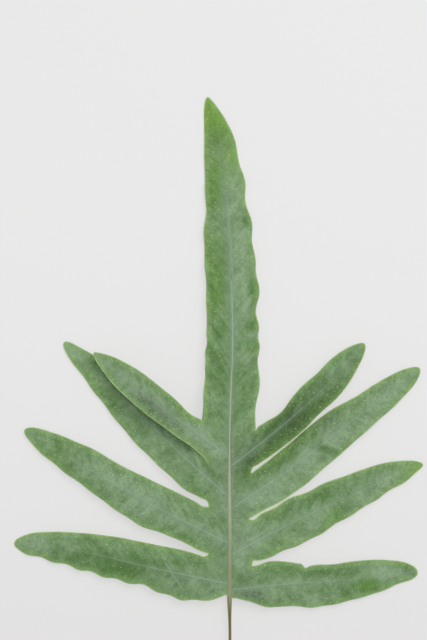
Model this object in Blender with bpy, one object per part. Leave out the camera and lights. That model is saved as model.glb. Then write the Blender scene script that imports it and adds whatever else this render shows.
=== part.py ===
"""A fern frond of the blue star kind, cut at the foot of its stalk and lying face up on a flat surface.

It has two pieces. The blade is one leathery sheet, cut into eight side lobes and a long end lobe
that stay joined along the middle. The stalk is the stipe below the blade, which runs on up the
blade as its rachis, in a slit between the two halves of the sheet.

Lengths are in millimetres, measured from the foot of the blade: +Y towards the tip, +Z up.
At the end everything hangs from one empty, which puts the origin under the middle of the frond.
"""

from collections import namedtuple

import bmesh
import bpy
import numpy as np

MM = 0.001

# The stalk: its cut end, how far up the blade it stays a separate rib, and its half width and
# height of the blade above the surface at some distances from the foot of the blade.
CUT_END = -96.0
RIB_END = 197.0
STALK_HALF_WIDTHS = (
    (CUT_END, 1.25),
    (-70.0, 1.05),
    (-25.0, 0.85),
    (-12.0, 0.95),
    (0.0, 1.45),
    (14.0, 1.6),
    (35.0, 1.5),
    (59.0, 1.25),
    (77.0, 0.95),
    (95.0, 0.7),
    (125.0, 0.55),
    (RIB_END, 0.35),
)
RACHIS_LINE = (
    (CUT_END, -2.6),
    (-60.0, -0.4),
    (-25.0, 0.3),
    (0.0, 0.0),
    (35.0, 0.2),
    (95.0, 0.0),
    (119.0, 0.6),
    (149.0, 1.8),
    (179.0, 1.5),
    (209.0, 0.6),
    (233.0, -1.2),
    (260.0, -4.2),
    (284.0, -8.4),
    (301.3, -13.2),
)
RACHIS_HEIGHTS = (
    (CUT_END, 1.45),
    (-60.0, 2.3),
    (-20.0, 5.2),
    (20.0, 8.4),
    (70.0, 11.0),
    (120.0, 11.2),
    (180.0, 8.8),
    (240.0, 5.0),
    (285.0, 1.6),
    (301.3, 0.8),
)
STALK_SINK = 0.6  # depth of the stalk's centre line under the blade, in stalk half widths
STALK_STEP = 6.0
STALK_SIDES = 4  # Blender's bevel resolution: 4 gives 12 sides
CLEARANCE = 0.35  # between the stalk and the sides of the slit that it lies in

# The sheet.
THICKNESS = 0.5
RIB_THICKNESS = 1.3  # where a vein stands out under the middle of a lobe
FULL_WIDTH = 13.0  # half width at which a lobe's edge has its whole droop and ripple
FOLD = 1.6  # 1 folds a lobe to a sharp V at its vein, 2 bends it to a smooth trough
TIP_SHARPNESS = 24  # power of the curve that rounds off a tip

# The grid: shares of the half width for the columns, and numbers of rows. There are as many
# rows between the rachis and a notch as there are columns on a half, so that the rows of the top
# side lobes meet the columns of the end lobe.
COLUMNS = (0.0, 0.09, 0.55, 1.0)
WEB_ROWS = len(COLUMNS) - 1
SIDE_LOBE_ROWS = 28
END_LOBE_ROWS = 48
ROW_CROWDING = (1.15, 1.5)  # how far rows draw together towards a notch, and towards a tip
SETTLING = 0.18  # share of a lobe in which its edge leaves the height of the notch

# One side lobe. Its vein runs from its root on the rachis through three points, and above and
# below list its half widths towards the tip and the foot of the frond, each with its share of
# the vein. notch is the bottom of the cut above the lobe. tip and arch are the height of the tip
# over the surface and of the vein's bow; droop is how far the edges above and below hang. Both
# edges wave: wave holds the wave's length and its phase, ripple how far it lifts them, and
# scallop how far it pushes each of them out.
# Distances across the frond count outwards from the middle on both sides.
Lobe = namedtuple("Lobe", "name root vein above below notch tip arch droop ripple wave scallop")

RIGHT_LOBES = (
    Lobe(
        "right_1",
        root=5.4,
        vein=((36.6, 9.0), (72.6, 11.4), (113.4, 15.4)),
        above=(
            (0.14, 13.0), (0.17, 13.6), (0.2, 14.4), (0.3, 13.4), (0.36, 11.9), (0.387, 11.0),
            (0.4, 8.9), (0.425, 9.8), (0.55, 9.8), (0.65, 10.7), (0.88, 8.8), (1.0, 5.9),
        ),
        below=(
            (0.1, 8.8), (0.18, 12.8), (0.3, 13.5), (0.43, 15.5), (0.52, 14.8), (0.65, 12.4),
            (0.8, 9.1), (0.9, 5.8), (1.0, 5.0),
        ),
        notch=(13.8, 20.0),
        tip=0.6,
        arch=2.5,
        droop=(1.8, 2.2),
        ripple=0.8,
        wave=(15.0, 0.4),
        scallop=(0.1, 0.1),
    ),
    Lobe(
        "right_2",
        root=26.4,
        vein=((32.4, 43.2), (66.6, 59.4), (116.5, 80.3)),
        above=(
            (0.17, 12.4), (0.2, 13.2), (0.28, 12.9), (0.37, 13.8), (0.45, 12.5), (0.52, 13.0),
            (0.65, 11.8), (0.8, 10.5), (0.9, 8.0), (1.0, 4.2),
        ),
        below=(
            (0.075, 10.0), (0.1, 11.2), (0.13, 12.1), (0.25, 13.4), (0.36, 14.4), (0.5, 12.6),
            (0.65, 10.5), (0.8, 7.2), (0.92, 4.9), (1.0, 2.7),
        ),
        notch=(12.0, 48.0),
        tip=1.4,
        arch=2.0,
        droop=(1.6, 2.6),
        ripple=0.6,
        wave=(19.0, 2.0),
        scallop=(0.1, 0.3),
    ),
    Lobe(
        "right_3",
        root=54.0,
        vein=((36.6, 78.3), (72.6, 106.2), (114.4, 138.2)),
        above=(
            (0.2, 11.4), (0.32, 12.1), (0.45, 12.9), (0.56, 13.1), (0.72, 9.9), (0.85, 8.2),
            (0.93, 6.4), (1.0, 4.3),
        ),
        below=(
            (0.08, 11.6), (0.12, 12.1), (0.19, 13.2), (0.27, 13.5), (0.4, 12.5), (0.55, 11.5),
            (0.7, 10.2), (0.85, 8.5), (0.94, 6.7), (1.0, 4.6),
        ),
        notch=(13.2, 75.8),
        tip=1.8,
        arch=2.5,
        droop=(1.4, 2.8),
        ripple=0.6,
        wave=(22.0, 0.0),
        scallop=(0.1, 0.1),
    ),
    Lobe(
        "right_4",
        root=79.2,
        vein=((29.4, 102.0), (55.8, 125.4), (81.0, 153.0)),
        above=(
            (0.25, 8.7), (0.3, 8.3), (0.4, 6.8), (0.52, 9.5), (0.58, 10.2), (0.7, 9.3),
            (0.8, 9.3), (0.9, 7.1), (1.0, 3.6),
        ),
        below=(
            (0.088, 9.3), (0.13, 9.4), (0.22, 9.9), (0.33, 10.4), (0.44, 10.3), (0.55, 9.3),
            (0.65, 9.7), (0.78, 8.7), (0.9, 6.4), (1.0, 3.8),
        ),
        notch=(15.6, 101.4),
        tip=6.5,
        arch=0.5,
        droop=(-2.4, -3.4),
        ripple=0.6,
        wave=(30.0, 3.4),
        scallop=(0.1, 0.1),
    ),
)
LEFT_LOBES = (
    Lobe(
        "left_1",
        root=9.0,
        vein=((49.2, 19.2), (89.4, 28.2), (129.6, 32.7)),
        above=(
            (0.125, 13.9), (0.16, 13.8), (0.2, 14.1), (0.35, 13.9), (0.5, 13.4), (0.65, 11.7),
            (0.8, 9.9), (0.92, 8.0), (1.0, 5.6),
        ),
        below=(
            (0.05, 11.0), (0.12, 13.8), (0.25, 14.8), (0.36, 12.0), (0.5, 12.2), (0.65, 11.3),
            (0.8, 8.7), (0.92, 6.4), (1.0, 5.1),
        ),
        notch=(12.6, 27.0),
        tip=0.7,
        arch=3.0,
        droop=(1.6, 1.8),
        ripple=0.9,
        wave=(16.2, 4.3),
        scallop=(0.1, 0.6),
    ),
    Lobe(
        "left_2",
        root=33.6,
        vein=((42.0, 54.0), (83.4, 76.8), (123.3, 101.0)),
        above=(
            (0.16, 13.3), (0.2, 13.5), (0.26, 13.7), (0.33, 13.4), (0.5, 12.3), (0.58, 11.8),
            (0.68, 12.1), (0.8, 10.1), (0.9, 7.8), (1.0, 5.0),
        ),
        below=(
            (0.065, 11.5), (0.1, 12.0), (0.13, 11.9), (0.24, 12.0), (0.36, 14.4), (0.5, 13.1),
            (0.65, 10.5), (0.8, 8.4), (0.92, 6.3), (1.0, 4.2),
        ),
        notch=(12.6, 55.2),
        tip=1.6,
        arch=2.5,
        droop=(1.4, 1.8),
        ripple=0.6,
        wave=(18.0, 2.6),
        scallop=(0.1, 0.2),
    ),
    Lobe(
        "left_3",
        root=61.2,
        vein=((29.4, 87.0), (65.4, 121.8), (99.4, 153.8)),
        above=(
            (0.25, 9.6), (0.33, 11.4), (0.45, 12.8), (0.6, 12.4), (0.75, 10.0), (0.9, 5.6),
            (1.0, 3.6),
        ),
        below=(
            (0.05, 11.0), (0.09, 11.8), (0.15, 13.9), (0.3, 14.3), (0.45, 14.4), (0.6, 12.6),
            (0.75, 9.6), (0.9, 6.2), (1.0, 4.9),
        ),
        notch=(13.8, 83.1),
        tip=1.2,
        arch=-1.0,
        droop=(1.0, 1.6),
        ripple=0.5,
        wave=(20.0, 0.8),
        scallop=(0.1, 0.2),
    ),
    Lobe(
        "left_4",
        root=85.8,
        vein=((18.0, 98.4), (47.4, 120.0), (81.4, 147.6)),
        above=(
            (0.3, 7.3), (0.45, 8.8), (0.65, 9.5), (0.8, 8.1), (0.9, 5.6), (1.0, 1.9),
        ),
        below=(
            (0.2, 8.6), (0.35, 8.8), (0.5, 8.8), (0.65, 8.4), (0.8, 7.0), (0.92, 4.6),
            (1.0, 2.6),
        ),
        notch=(16.5, 107.4),
        tip=8.5,
        arch=5.0,
        droop=(-0.8, -0.4),
        ripple=0.3,
        wave=(24.0, 0.0),
        scallop=(0.1, 0.1),
    ),
)
FOOT_NOTCHES = {1: (4.0, 0.2), -1: (3.0, 2.0)}  # where the lowest edges leave the stalk

# The end lobe, whose vein is the rachis itself from END_LOBE_FOOT upwards.
END_LOBE_FOOT = 93.0
END_LEFT = (
    (0.1, 16.3), (0.14, 16.5), (0.23, 16.1), (0.26, 16.8), (0.29, 15.2), (0.32, 15.8),
    (0.38, 15.3), (0.44, 15.7), (0.48, 15.4), (0.53, 16.2), (0.58, 15.5), (0.62, 15.1),
    (0.68, 12.9), (0.74, 12.4), (0.8, 11.1), (0.9, 8.0), (1.0, 4.8),
)
END_RIGHT = (
    (0.1, 15.2), (0.14, 16.2), (0.18, 16.7), (0.225, 16.3), (0.255, 15.4), (0.29, 16.2),
    (0.32, 15.9), (0.35, 14.9), (0.38, 14.9), (0.43, 15.9), (0.5, 15.2), (0.54, 13.9),
    (0.62, 13.8), (0.68, 11.8), (0.74, 12.0), (0.8, 10.6), (0.86, 9.9), (0.92, 7.5), (1.0, 3.4),
)
END_DROOP = 2.6
# Distances from the foot of the blade at which the right edge of the end lobe has its notches.
END_EDGE_NOTCHES = (93.0, 113.0, 141.0, 157.0, 172.0, 196.0, 215.0, 240.0, 262.0, 301.3)
END_RIPPLE = 1.7
END_EDGE_WOBBLE = 0.5

BLADE_GREEN = (0.16, 0.26, 0.13, 1.0)
STALK_BROWN = (0.24, 0.19, 0.09, 1.0)


def smooth(knots, values, at):
    """The cubic through the values at the knots whose slopes come from their neighbours."""
    knots = np.asarray(knots, float)
    values = np.asarray(values, float)
    at = np.clip(np.asarray(at, float), knots[0], knots[-1])
    slopes = np.gradient(values, knots, axis=0)
    i = np.clip(np.searchsorted(knots, at, side="right") - 1, 0, len(knots) - 2)
    width = knots[i + 1] - knots[i]
    t = (at - knots[i]) / width
    if values.ndim > 1:
        t, width = t[..., None], width[..., None]
    start = (1 + 2 * t) * (1 - t) ** 2 * values[i] + t * (1 - t) ** 2 * width * slopes[i]
    return start + t * t * (3 - 2 * t) * values[i + 1] - t * t * (1 - t) * width * slopes[i + 1]


def along(pairs, at):
    """The smooth profile through (place, value) pairs."""
    places, values = zip(*pairs)
    return smooth(places, values, at)


def smoothstep(x):
    x = np.clip(x, 0, 1)
    return x * x * (3 - 2 * x)


def rachis_x(y):
    return along(RACHIS_LINE, y)


def rachis_height(y):
    return along(RACHIS_HEIGHTS, y)


def slit_half_width(y):
    """Half the slit that the rachis lies in; it closes just beyond the rib's end."""
    width = along(STALK_HALF_WIDTHS, y) + CLEARANCE
    return np.where(np.asarray(y) > RIB_END + 1, 0.0, width)


def on_rachis(y, side):
    """The point of the sheet beside the rachis at this distance from the foot."""
    return np.stack([rachis_x(y) + side * slit_half_width(y), y, rachis_height(y)], axis=-1)


class Vein:
    """A line in plan that half widths are measured from. t runs from 0 at its root to 1."""

    def __init__(self, points):
        self.points = np.asarray(points, float)
        steps = np.linalg.norm(np.diff(self.points, axis=0), axis=1)
        self.length = steps.sum()
        self.knots = np.concatenate([[0], np.cumsum(steps)]) / self.length

    def at(self, t):
        return smooth(self.knots, self.points, t)

    def across(self, t):
        """The unit vector square to the vein, to its left."""
        tangent = self.at(np.minimum(t + 0.004, 1)) - self.at(np.maximum(t - 0.004, 0))
        tangent /= np.linalg.norm(tangent, axis=-1, keepdims=True)
        return np.stack([-tangent[..., 1], tangent[..., 0]], axis=-1)

    def foot_of(self, point):
        """The share of the vein nearest a point, and the point's distance from it."""
        t = np.linspace(0, 1, 801)
        gaps = np.linalg.norm(self.at(t) - np.asarray(point, float), axis=1)
        return t[gaps.argmin()], gaps.min()


def tip_rounding(t):
    return np.sqrt(np.clip(1 - t**TIP_SHARPNESS, 0, 1))


def edge_line(vein, notch, widths, sign, t, scallop=0.0):
    """Points along an edge, and the half widths there, from its notch to the tip."""
    start, gap = vein.foot_of(notch)
    half = (along(((start, gap), *widths), t) + scallop) * tip_rounding(t)
    return vein.at(t) + sign * half[:, None] * vein.across(t), half


def crowded(rows):
    """Shares from 0 to 1 that draw together at both ends."""
    at_notch, at_tip = ROW_CROWDING
    return 1 - (1 - np.linspace(0, 1, rows + 1) ** at_notch) ** at_tip


def cross_rows(middle, lower, upper):
    """Grid points from the lower edge to the upper one. Each argument holds one point per row."""
    shares = np.array(COLUMNS)
    halves = []
    for edge in (lower, upper):
        reach = (edge - middle)[:, None, :]
        part = middle[:, None, :] + shares[None, :, None] * reach
        part[..., 2] = middle[:, None, 2] + shares**FOLD * reach[..., 2]
        halves.append(part)
    return np.concatenate([halves[0][:, ::-1], halves[1][:, 1:]], axis=1)


def vein_height(lobe, t):
    straight = rachis_height(lobe.root) * (1 - t) + lobe.tip * t
    return straight + 4 * lobe.arch * t * (1 - t)


def lobe_vein(lobe, side):
    start = on_rachis(lobe.root, side)[:2]
    return Vein([start, *((side * x, y) for x, y in lobe.vein)])


def notch_share(lobe, side, below_notch):
    """How far along the lobe's vein its web ends: midway between its two notches."""
    vein = lobe_vein(lobe, side)
    below = vein.foot_of((side * below_notch[0], below_notch[1]))[0]
    above = vein.foot_of((side * lobe.notch[0], lobe.notch[1]))[0]
    return (below + above) / 2


def side_grids(lobes, side):
    """One grid per side lobe, and the points of the line that the end lobe shares."""
    notches = [FOOT_NOTCHES[side], *(lobe.notch for lobe in lobes)]
    roots = [lobe.root for lobe in lobes]
    splits = [notches[0][1], *((a + b) / 2 for a, b in zip(roots, roots[1:])), END_LOBE_FOOT]
    shares = [notch_share(lobe, side, notches[i]) for i, lobe in enumerate(lobes)]
    heights = [vein_height(lobe, share) for lobe, share in zip(lobes, shares)]
    notch_heights = [heights[0], *((a + b) / 2 for a, b in zip(heights, heights[1:]))]
    notch_heights.append((heights[-1] + rachis_height(notches[-1][1])) / 2)
    web = np.linspace(0, 1, WEB_ROWS + 1)[:, None]
    lines = []
    for split, notch, height in zip(splits, notches, notch_heights):
        start = on_rachis(split, side)
        end = np.array([side * notch[0], notch[1], height])
        lines.append(start + web * (end - start))
    free = crowded(SIDE_LOBE_ROWS)[1:]
    grids = []
    for i, lobe in enumerate(lobes):
        vein = lobe_vein(lobe, side)
        t_middle = np.concatenate([web[:, 0] * shares[i], shares[i] + (1 - shares[i]) * free])
        height = vein_height(lobe, t_middle)
        middle = np.column_stack([vein.at(t_middle), height])
        edges = []
        for line, widths, turn, droop, scallop, phase in (
            (lines[i], lobe.below, -side, lobe.droop[1], lobe.scallop[1], 0.0),
            (lines[i + 1], lobe.above, side, lobe.droop[0], lobe.scallop[0], np.pi / 2),
        ):
            start = vein.foot_of(line[-1, :2])[0]
            t = start + (1 - start) * free
            settled = smoothstep(free / SETTLING)
            length, offset = lobe.wave
            wave = settled * np.sin(2 * np.pi * t * vein.length / length + offset + phase)
            place, half = edge_line(vein, line[-1, :2], widths, turn, t, scallop * wave)
            shape = (lobe.ripple * wave - settled * droop) * (half / FULL_WIDTH) ** 1.5
            base = line[-1, 2] - height[WEB_ROWS]
            level = height[WEB_ROWS + 1 :] + shape + (1 - settled) * base
            edges.append(np.concatenate([line, np.column_stack([place, level])]))
        grid = cross_rows(middle, *edges)
        grid[0] = rachis_row(lobe.root, splits[i], splits[i + 1], side)
        grids.append(grid)
    return grids, lines[-1]


def rachis_row(root, low, high, side):
    """The row of a side lobe that lies along the rachis, from the line below it to the one above."""
    shares = np.array(COLUMNS)
    below = root + shares[::-1] * (low - root)
    above = root + shares[1:] * (high - root)
    return on_rachis(np.concatenate([below, above]), side)


def end_edge_ripple(y):
    """A wave of the end lobe's right edge with its troughs at END_EDGE_NOTCHES."""
    turns = np.interp(y, END_EDGE_NOTCHES, np.arange(len(END_EDGE_NOTCHES)))
    return -np.cos(2 * np.pi * turns)


def end_grid(side, line):
    """Half of the end lobe, from the rachis outwards. line is its shared lower edge."""
    foot = rachis_x(END_LOBE_FOOT), END_LOBE_FOOT
    upper = [(x, y) for y, x in RACHIS_LINE if y > END_LOBE_FOOT + 3]
    vein = Vein([foot, *upper])
    free = crowded(END_LOBE_ROWS)
    notch = line[-1, :2]
    start = vein.foot_of(notch)[0]
    t = start + (1 - start) * free
    widths = END_RIGHT if side > 0 else END_LEFT
    edge, half = edge_line(vein, notch, widths, -side, t)
    middle_plan = vein.at(free)
    y = middle_plan[:, 1]
    fade = smoothstep(free / SETTLING) * (half / FULL_WIDTH) ** 1.5
    wave = end_edge_ripple(edge[:, 1])
    if side < 0:
        wave = 0.45 * end_edge_ripple(edge[:, 1] + 9)
    edge[:, 0] += side * END_EDGE_WOBBLE * wave * fade
    level = rachis_height(y) + fade * (END_RIPPLE * np.roll(wave, 1) - END_DROOP)
    level += (line[-1, 2] - level[0]) * (1 - smoothstep(free / SETTLING))
    outer = np.column_stack([edge, level])
    inner = on_rachis(y, side)
    inner[:, 0] += middle_plan[:, 0] - rachis_x(y)
    even = np.linspace(0, 1, WEB_ROWS + 1)
    grid = np.empty((len(free), len(COLUMNS), 3))
    for row in range(len(free)):
        shares = even + (np.array(COLUMNS) - even) * min(1, row / WEB_ROWS)
        reach = outer[row] - inner[row]
        grid[row] = inner[row] + shares[:, None] * reach
        grid[row, :, 2] = inner[row, 2] + shares**FOLD * reach[2]
    grid[0] = line
    return grid


def add_grid(mesh, grid, flip):
    """Adds the grid's faces. Its last row is a tip, where all the columns meet."""
    rows = [[mesh.verts.new(point * MM) for point in row] for row in grid[:-1]]
    tip = mesh.verts.new(grid[-1, 0] * MM)
    corners = []
    for low, high in zip(rows, rows[1:]):
        corners += [(low[j], low[j + 1], high[j + 1], high[j]) for j in range(len(low) - 1)]
    corners += [(rows[-1][j], rows[-1][j + 1], tip) for j in range(len(rows[-1]) - 1)]
    for face in corners:
        mesh.faces.new(face[::-1] if flip else face)


def material(name, colour, roughness):
    made = bpy.data.materials.new(name)
    made.use_nodes = True
    surface = made.node_tree.nodes["Principled BSDF"]
    surface.inputs["Base Color"].default_value = colour
    surface.inputs["Roughness"].default_value = roughness
    return made


def build_blade():
    sheet = bmesh.new()
    ribs = []
    for side, lobes in ((1, RIGHT_LOBES), (-1, LEFT_LOBES)):
        grids, line = side_grids(lobes, side)
        for grid in grids:
            add_grid(sheet, grid, flip=side < 0)
            ribs.append(grid[1:-1, len(COLUMNS) - 1])
        half = end_grid(side, line)
        add_grid(sheet, half, flip=side > 0)
        ribs.append(half[half[:, 0, 1] > RIB_END, 0])
    bmesh.ops.remove_doubles(sheet, verts=sheet.verts, dist=0.01 * MM)
    bmesh.ops.recalc_face_normals(sheet, faces=sheet.faces)
    mesh = bpy.data.meshes.new("blade")
    sheet.to_mesh(mesh)
    sheet.free()
    mesh.shade_smooth()
    blade = bpy.data.objects.new("blade", mesh)
    bpy.context.scene.collection.objects.link(blade)
    thicken(blade, np.concatenate(ribs) * MM)
    blade.data.materials.append(material("blade_green", BLADE_GREEN, 0.55))
    return blade


def thicken(blade, rib_points):
    """Gives the sheet its thickness on the underside, and more under the veins."""
    group = blade.vertex_groups.new(name="ribs")
    keys = {tuple(np.round(point / MM, 2)) for point in rib_points}
    thin = THICKNESS / RIB_THICKNESS
    for vertex in blade.data.vertices:
        on_rib = tuple(np.round(np.array(vertex.co) / MM, 2)) in keys
        group.add([vertex.index], 1.0 if on_rib else thin, "REPLACE")
    solid = blade.modifiers.new("thickness", "SOLIDIFY")
    solid.thickness = RIB_THICKNESS * MM
    solid.offset = -1
    solid.vertex_group = "ribs"


def build_stalk():
    count = round((RIB_END - CUT_END) / STALK_STEP)
    y = np.linspace(CUT_END, RIB_END, count + 1)
    half = along(STALK_HALF_WIDTHS, y)
    centre = np.column_stack([rachis_x(y), y, rachis_height(y) - STALK_SINK * half]) * MM
    curve = bpy.data.curves.new("stalk", "CURVE")
    curve.dimensions = "3D"
    curve.bevel_depth = MM
    curve.bevel_resolution = STALK_SIDES
    curve.use_fill_caps = True
    line = curve.splines.new("POLY")
    line.points.add(len(y) - 1)
    for point, place, radius in zip(line.points, centre, half):
        point.co = (*place, 1)
        point.radius = radius
    stalk = bpy.data.objects.new("stalk", curve)
    bpy.context.scene.collection.objects.link(stalk)
    curve.materials.append(material("stalk_brown", STALK_BROWN, 0.45))
    return stalk


def world_corners(objects):
    """The lowest and highest corner of the finished shapes."""
    bpy.context.view_layer.update()
    graph = bpy.context.evaluated_depsgraph_get()
    points = []
    for thing in objects:
        finished = thing.evaluated_get(graph)
        mesh = finished.to_mesh()
        points += [finished.matrix_world @ vertex.co for vertex in mesh.vertices]
        finished.to_mesh_clear()
    points = np.array(points)
    return points.min(axis=0), points.max(axis=0)


def main():
    for thing in list(bpy.data.objects):
        bpy.data.objects.remove(thing)
    pieces = [build_blade(), build_stalk()]
    low, high = world_corners(pieces)
    frond = bpy.data.objects.new("frond", None)
    bpy.context.scene.collection.objects.link(frond)
    frond.location = (-(low[0] + high[0]) / 2, -(low[1] + high[1]) / 2, -low[2])
    for piece in pieces:
        piece.parent = frond


main()
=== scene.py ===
"""A fern frond, cut and laid face up on a pale surface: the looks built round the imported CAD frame.

Lengths are in millimetres from the foot of the blade until they go into a mesh: +Y towards the tip.
"""

from collections import namedtuple

import bpy
import numpy as np
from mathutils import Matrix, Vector, kdtree


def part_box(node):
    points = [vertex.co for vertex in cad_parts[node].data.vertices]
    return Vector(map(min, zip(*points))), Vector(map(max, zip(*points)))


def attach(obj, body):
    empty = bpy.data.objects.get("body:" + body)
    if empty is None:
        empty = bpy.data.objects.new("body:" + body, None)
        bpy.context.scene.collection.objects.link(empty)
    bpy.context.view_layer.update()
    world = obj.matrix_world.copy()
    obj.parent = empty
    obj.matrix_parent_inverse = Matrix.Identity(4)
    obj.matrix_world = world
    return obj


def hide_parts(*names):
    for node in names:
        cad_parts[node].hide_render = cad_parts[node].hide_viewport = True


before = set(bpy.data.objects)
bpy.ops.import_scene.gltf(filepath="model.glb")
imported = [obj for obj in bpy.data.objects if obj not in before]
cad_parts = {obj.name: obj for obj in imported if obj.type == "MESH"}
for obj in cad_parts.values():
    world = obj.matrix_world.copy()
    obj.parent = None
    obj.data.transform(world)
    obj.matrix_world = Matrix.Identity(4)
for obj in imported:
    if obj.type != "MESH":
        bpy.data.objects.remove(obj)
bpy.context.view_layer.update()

MM = 0.001

# --- The frond's lines: the same shapes as the CAD model's -------------------------------------

CUT_END = -96.0
RIB_END = 197.0
STALK_HALF_WIDTHS = (
    (CUT_END, 1.25), (-70.0, 1.05), (-25.0, 0.85), (-12.0, 0.95), (0.0, 1.45),
    (14.0, 1.6), (35.0, 1.5), (59.0, 1.25), (77.0, 0.95), (95.0, 0.7),
    (125.0, 0.55), (RIB_END, 0.35),
)
RACHIS_LINE = (
    (CUT_END, -2.6), (-60.0, -0.4), (-25.0, 0.3), (0.0, 0.0), (35.0, 0.2),
    (95.0, 0.0), (119.0, 0.6), (149.0, 1.8), (179.0, 1.5), (209.0, 0.6),
    (233.0, -1.2), (260.0, -4.2), (284.0, -8.4), (301.3, -13.2),
)
RACHIS_HEIGHTS = (
    (CUT_END, 1.45), (-60.0, 2.3), (-20.0, 5.2), (20.0, 8.4), (70.0, 11.0),
    (120.0, 11.2), (180.0, 8.8), (240.0, 5.0), (285.0, 1.6), (301.3, 0.8),
)
STALK_SINK = 0.6  # depth of the stalk's centre line under the blade, in stalk half widths
RIB_FADE = 12.0  # length over which the rachis thins out before its end
TUCK = 0.5  # how deep the sheet reaches into the rachis, in stalk half widths

THICKNESS = 0.42
EDGE_ROUNDING = 0.35  # how far from its edge the sheet has its whole thickness
RIM_SINK = 0.04
# Height and half width of the ridges over and under a vein, first in a side lobe, and then in the
# end lobe from END_RIB_START on, where the rachis is part of the sheet.
LOBE_RIDGE = (0.12, 0.5)
LOBE_KEEL = (0.55, 0.6)
END_RIDGE = (0.1, 0.6)
END_KEEL = (0.5, 0.8)
END_RIB_START = 95.0
QUILT_HEIGHT = 0.06
SIDE_VEIN_PITCH = 5.6
VEIN_SLANT = 0.75  # how far along the lobe a side vein runs for each step outwards

FULL_WIDTH = 13.0  # half width at which a lobe's edge has its whole droop and ripple
WIDTH_POWER = 1.5  # how fast droop and ripple shrink where a lobe is narrower
FOLD = 1.6  # 1 folds a lobe to a sharp V at its vein, 2 bends it to a smooth trough
RIPPLE_FOLD = 1.7  # the same for the ripple, which grows from the vein to the edge
TIP_SHARPNESS = 24  # power of the curve that rounds off a tip

# The grid: shares of the half width for the columns, and numbers of rows. A lobe has as many rows
# up to its notch as a half has columns, so that the top side lobes meet the end lobe.
COLUMNS = np.array(
    [0, 0.03, 0.075, 0.14, 0.22, 0.3, 0.38, 0.46, 0.54, 0.62, 0.7, 0.78, 0.86, 0.93, 0.975, 1]
)
WEB_ROWS = len(COLUMNS) - 1
SIDE_LOBE_ROWS = 105
END_LOBE_ROWS = 190
ROW_CROWDING = (1.1, 1.35)  # how far rows draw together towards a notch, and towards a tip
SETTLING = 0.18  # share of a lobe in which its edge leaves the height of the notch
SEAM = 0.35  # share of a half width at which the side veins start to fade between two lobes

# One side lobe. Its vein runs from its root on the rachis through three points, and above and
# below list its half widths towards the frond's tip and foot, each with its share of the vein.
# notch is the bottom of the cut above it. tip and arch are the heights of its tip and of the
# vein's bow, and droop is how far its two edges hang. The edges wave: wave holds the wave's
# length and phase, ripple how far it lifts them, and scallop how far it pushes each of them out.
# Distances across the frond count outwards from the middle on both sides.
Lobe = namedtuple("Lobe", "name root vein above below notch tip arch droop ripple wave scallop")

RIGHT_LOBES = (
    Lobe(
        "right_1", root=5.4, vein=((36.6, 9.0), (72.6, 11.4), (113.4, 15.4)),
        above=(
            (0.14, 13.0), (0.17, 13.6), (0.2, 14.4), (0.3, 13.4), (0.36, 11.9), (0.387, 11.0),
            (0.4, 8.9), (0.425, 9.8), (0.55, 9.8), (0.65, 10.7), (0.88, 8.8), (1.0, 5.9),
        ),
        below=(
            (0.1, 8.8), (0.18, 12.8), (0.3, 13.5), (0.43, 15.5), (0.52, 14.8), (0.65, 12.4),
            (0.8, 9.1), (0.9, 5.8), (1.0, 5.0),
        ),
        notch=(13.8, 20.0), tip=0.6, arch=2.5, droop=(1.8, 2.2),
        ripple=0.8, wave=(15.0, 0.4), scallop=(0.1, 0.1),
    ),
    Lobe(
        "right_2", root=26.4, vein=((32.4, 43.2), (66.6, 59.4), (116.5, 80.3)),
        above=(
            (0.17, 12.4), (0.2, 13.2), (0.28, 12.9), (0.37, 13.8), (0.45, 12.5), (0.52, 13.0),
            (0.65, 11.8), (0.8, 10.5), (0.9, 8.0), (1.0, 4.2),
        ),
        below=(
            (0.075, 10.0), (0.1, 11.2), (0.13, 12.1), (0.25, 13.4), (0.36, 14.4), (0.5, 12.6),
            (0.65, 10.5), (0.8, 7.2), (0.92, 4.9), (1.0, 2.7),
        ),
        notch=(12.0, 48.0), tip=1.4, arch=2.0, droop=(1.6, 2.6),
        ripple=0.6, wave=(19.0, 2.0), scallop=(0.1, 0.3),
    ),
    Lobe(
        "right_3", root=54.0, vein=((36.6, 78.3), (72.6, 106.2), (114.4, 138.2)),
        above=(
            (0.2, 11.4), (0.32, 12.1), (0.45, 12.9), (0.56, 13.1), (0.72, 9.9), (0.85, 8.2),
            (0.93, 6.4), (1.0, 4.3),
        ),
        below=(
            (0.08, 11.6), (0.12, 12.1), (0.19, 13.2), (0.27, 13.5), (0.4, 12.5), (0.55, 11.5),
            (0.7, 10.2), (0.85, 8.5), (0.94, 6.7), (1.0, 4.6),
        ),
        notch=(13.2, 75.8), tip=1.8, arch=2.5, droop=(1.4, 2.8),
        ripple=0.6, wave=(22.0, 0.0), scallop=(0.1, 0.1),
    ),
    Lobe(
        "right_4", root=79.2, vein=((29.4, 102.0), (55.8, 125.4), (81.0, 153.0)),
        above=(
            (0.25, 8.7), (0.3, 8.3), (0.4, 6.8), (0.52, 9.5), (0.58, 10.2), (0.7, 9.3),
            (0.8, 9.3), (0.9, 7.1), (1.0, 3.6),
        ),
        below=(
            (0.088, 9.3), (0.13, 9.4), (0.22, 9.9), (0.33, 10.4), (0.44, 10.3), (0.55, 9.3),
            (0.65, 9.7), (0.78, 8.7), (0.9, 6.4), (1.0, 3.8),
        ),
        notch=(15.6, 101.4), tip=6.5, arch=0.5, droop=(-2.4, -3.4),
        ripple=0.6, wave=(30.0, 3.4), scallop=(0.1, 0.1),
    ),
)
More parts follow.
